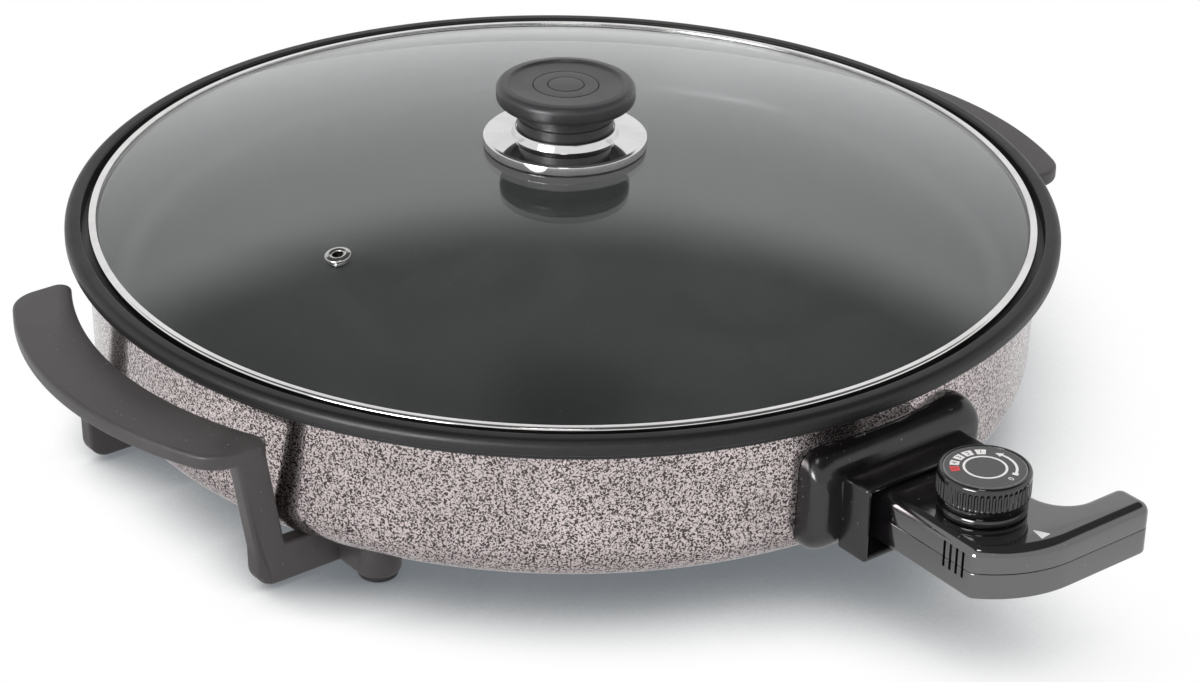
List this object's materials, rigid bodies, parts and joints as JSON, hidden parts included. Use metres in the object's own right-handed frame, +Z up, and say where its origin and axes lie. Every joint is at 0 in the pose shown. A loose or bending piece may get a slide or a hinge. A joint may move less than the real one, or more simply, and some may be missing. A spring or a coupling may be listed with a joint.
{
  "type": "electric pizza maker",
  "caption": "Round electric pan with two handle brackets, a domed glass lid with a black knob, and a plug-in thermostat with a turning dial.",
  "frame": {"origin": "on the table, midway across the whole object: midway between the two handles, and midway between the thermostat's front and the back of the rim", "axes": "+X towards the handle that the thermostat's arm points to, -Y towards the plug-in thermostat, +Z up"},
  "size_m": [0.484, 0.4996, 0.1441],
  "materials": {
    "nonstick_pan": "black non-stick coat, satin, dark grey on the rolled rim",
    "hammertone_paint": "grey hammertone paint with pale veins round dark cells",
    "cast_aluminium": "bare cast aluminium",
    "element_steel": "heat-tinted steel tube",
    "zinc_steel": "zinc-plated pressed steel",
    "contact_metal": "nickel-plated contact pin",
    "contact_brass": "brass and copper alloy strip",
    "ceramic_bush": "unglazed ceramic",
    "gloss_black_moulding": "polished black phenolic moulding",
    "satin_black_moulding": "satin black phenolic moulding",
    "black_rubber": "black rubber",
    "clear_glass": "clear tempered glass",
    "polished_steel": "polished stainless steel",
    "mirror_steel": "mirror-polished stainless steel",
    "dial_print": "grey printed dial plate"
  },
  "bodies": {
    "pan": {"pan_shell": "nonstick_pan", "outer_casing": "hammertone_paint", "heat_spreader": "cast_aluminium", "heating_element": "element_steel", "element_clips": "zinc_steel", "clip_screws": "zinc_steel", "mounting_posts": "cast_aluminium", "terminal_bracket": "zinc_steel", "terminal_pins": "contact_metal", "pin_insulators": "ceramic_bush", "probe_tube": "zinc_steel", "socket_guard": "gloss_black_moulding", "guard_screws": "zinc_steel", "left_handle": "satin_black_moulding", "right_handle": "satin_black_moulding", "handle_screws": "zinc_steel", "foot_pads": "black_rubber"},
    "lid": {"lid_glass": "clear_glass", "lid_band": "polished_steel", "vent_eyelet": "polished_steel", "knob_disc": "mirror_steel", "upper_gasket": "black_rubber", "lower_gasket": "black_rubber", "lid_washer": "zinc_steel", "lid_screw": "zinc_steel", "knob_insert": "contact_brass", "lid_knob": "gloss_black_moulding"},
    "thermostat": {"controller_top_cover": "gloss_black_moulding", "controller_bottom_cover": "gloss_black_moulding", "cover_screws": "zinc_steel", "contact_block": "ceramic_bush", "contact_sockets": "contact_brass", "probe_rod": "polished_steel", "thermostat_frame": "zinc_steel", "bimetal_strip": "contact_brass", "contact_leaves": "contact_brass", "cord_gland": "black_rubber", "cord_clamp": "satin_black_moulding"},
    "dial": {"dial_spindle": "zinc_steel", "dial_knob": "gloss_black_moulding", "dial_face": "dial_print"}
  },
  "joints": [
    {"name": "lid_lift", "type": "slide", "parent": "pan", "child": "lid", "axis": [0, 0, 1], "range_m": [0, 0.12]},
    {"name": "thermostat_plug", "type": "slide", "parent": "pan", "child": "thermostat", "axis": [0, -1, 0], "range_m": [0, 0.1]},
    {"name": "dial_turn", "type": "hinge", "parent": "thermostat", "child": "dial", "pos_m": [0.005, -0.213, 0.065], "axis": [0, 0, 1], "range_deg": [-235, 0]}
  ]
}
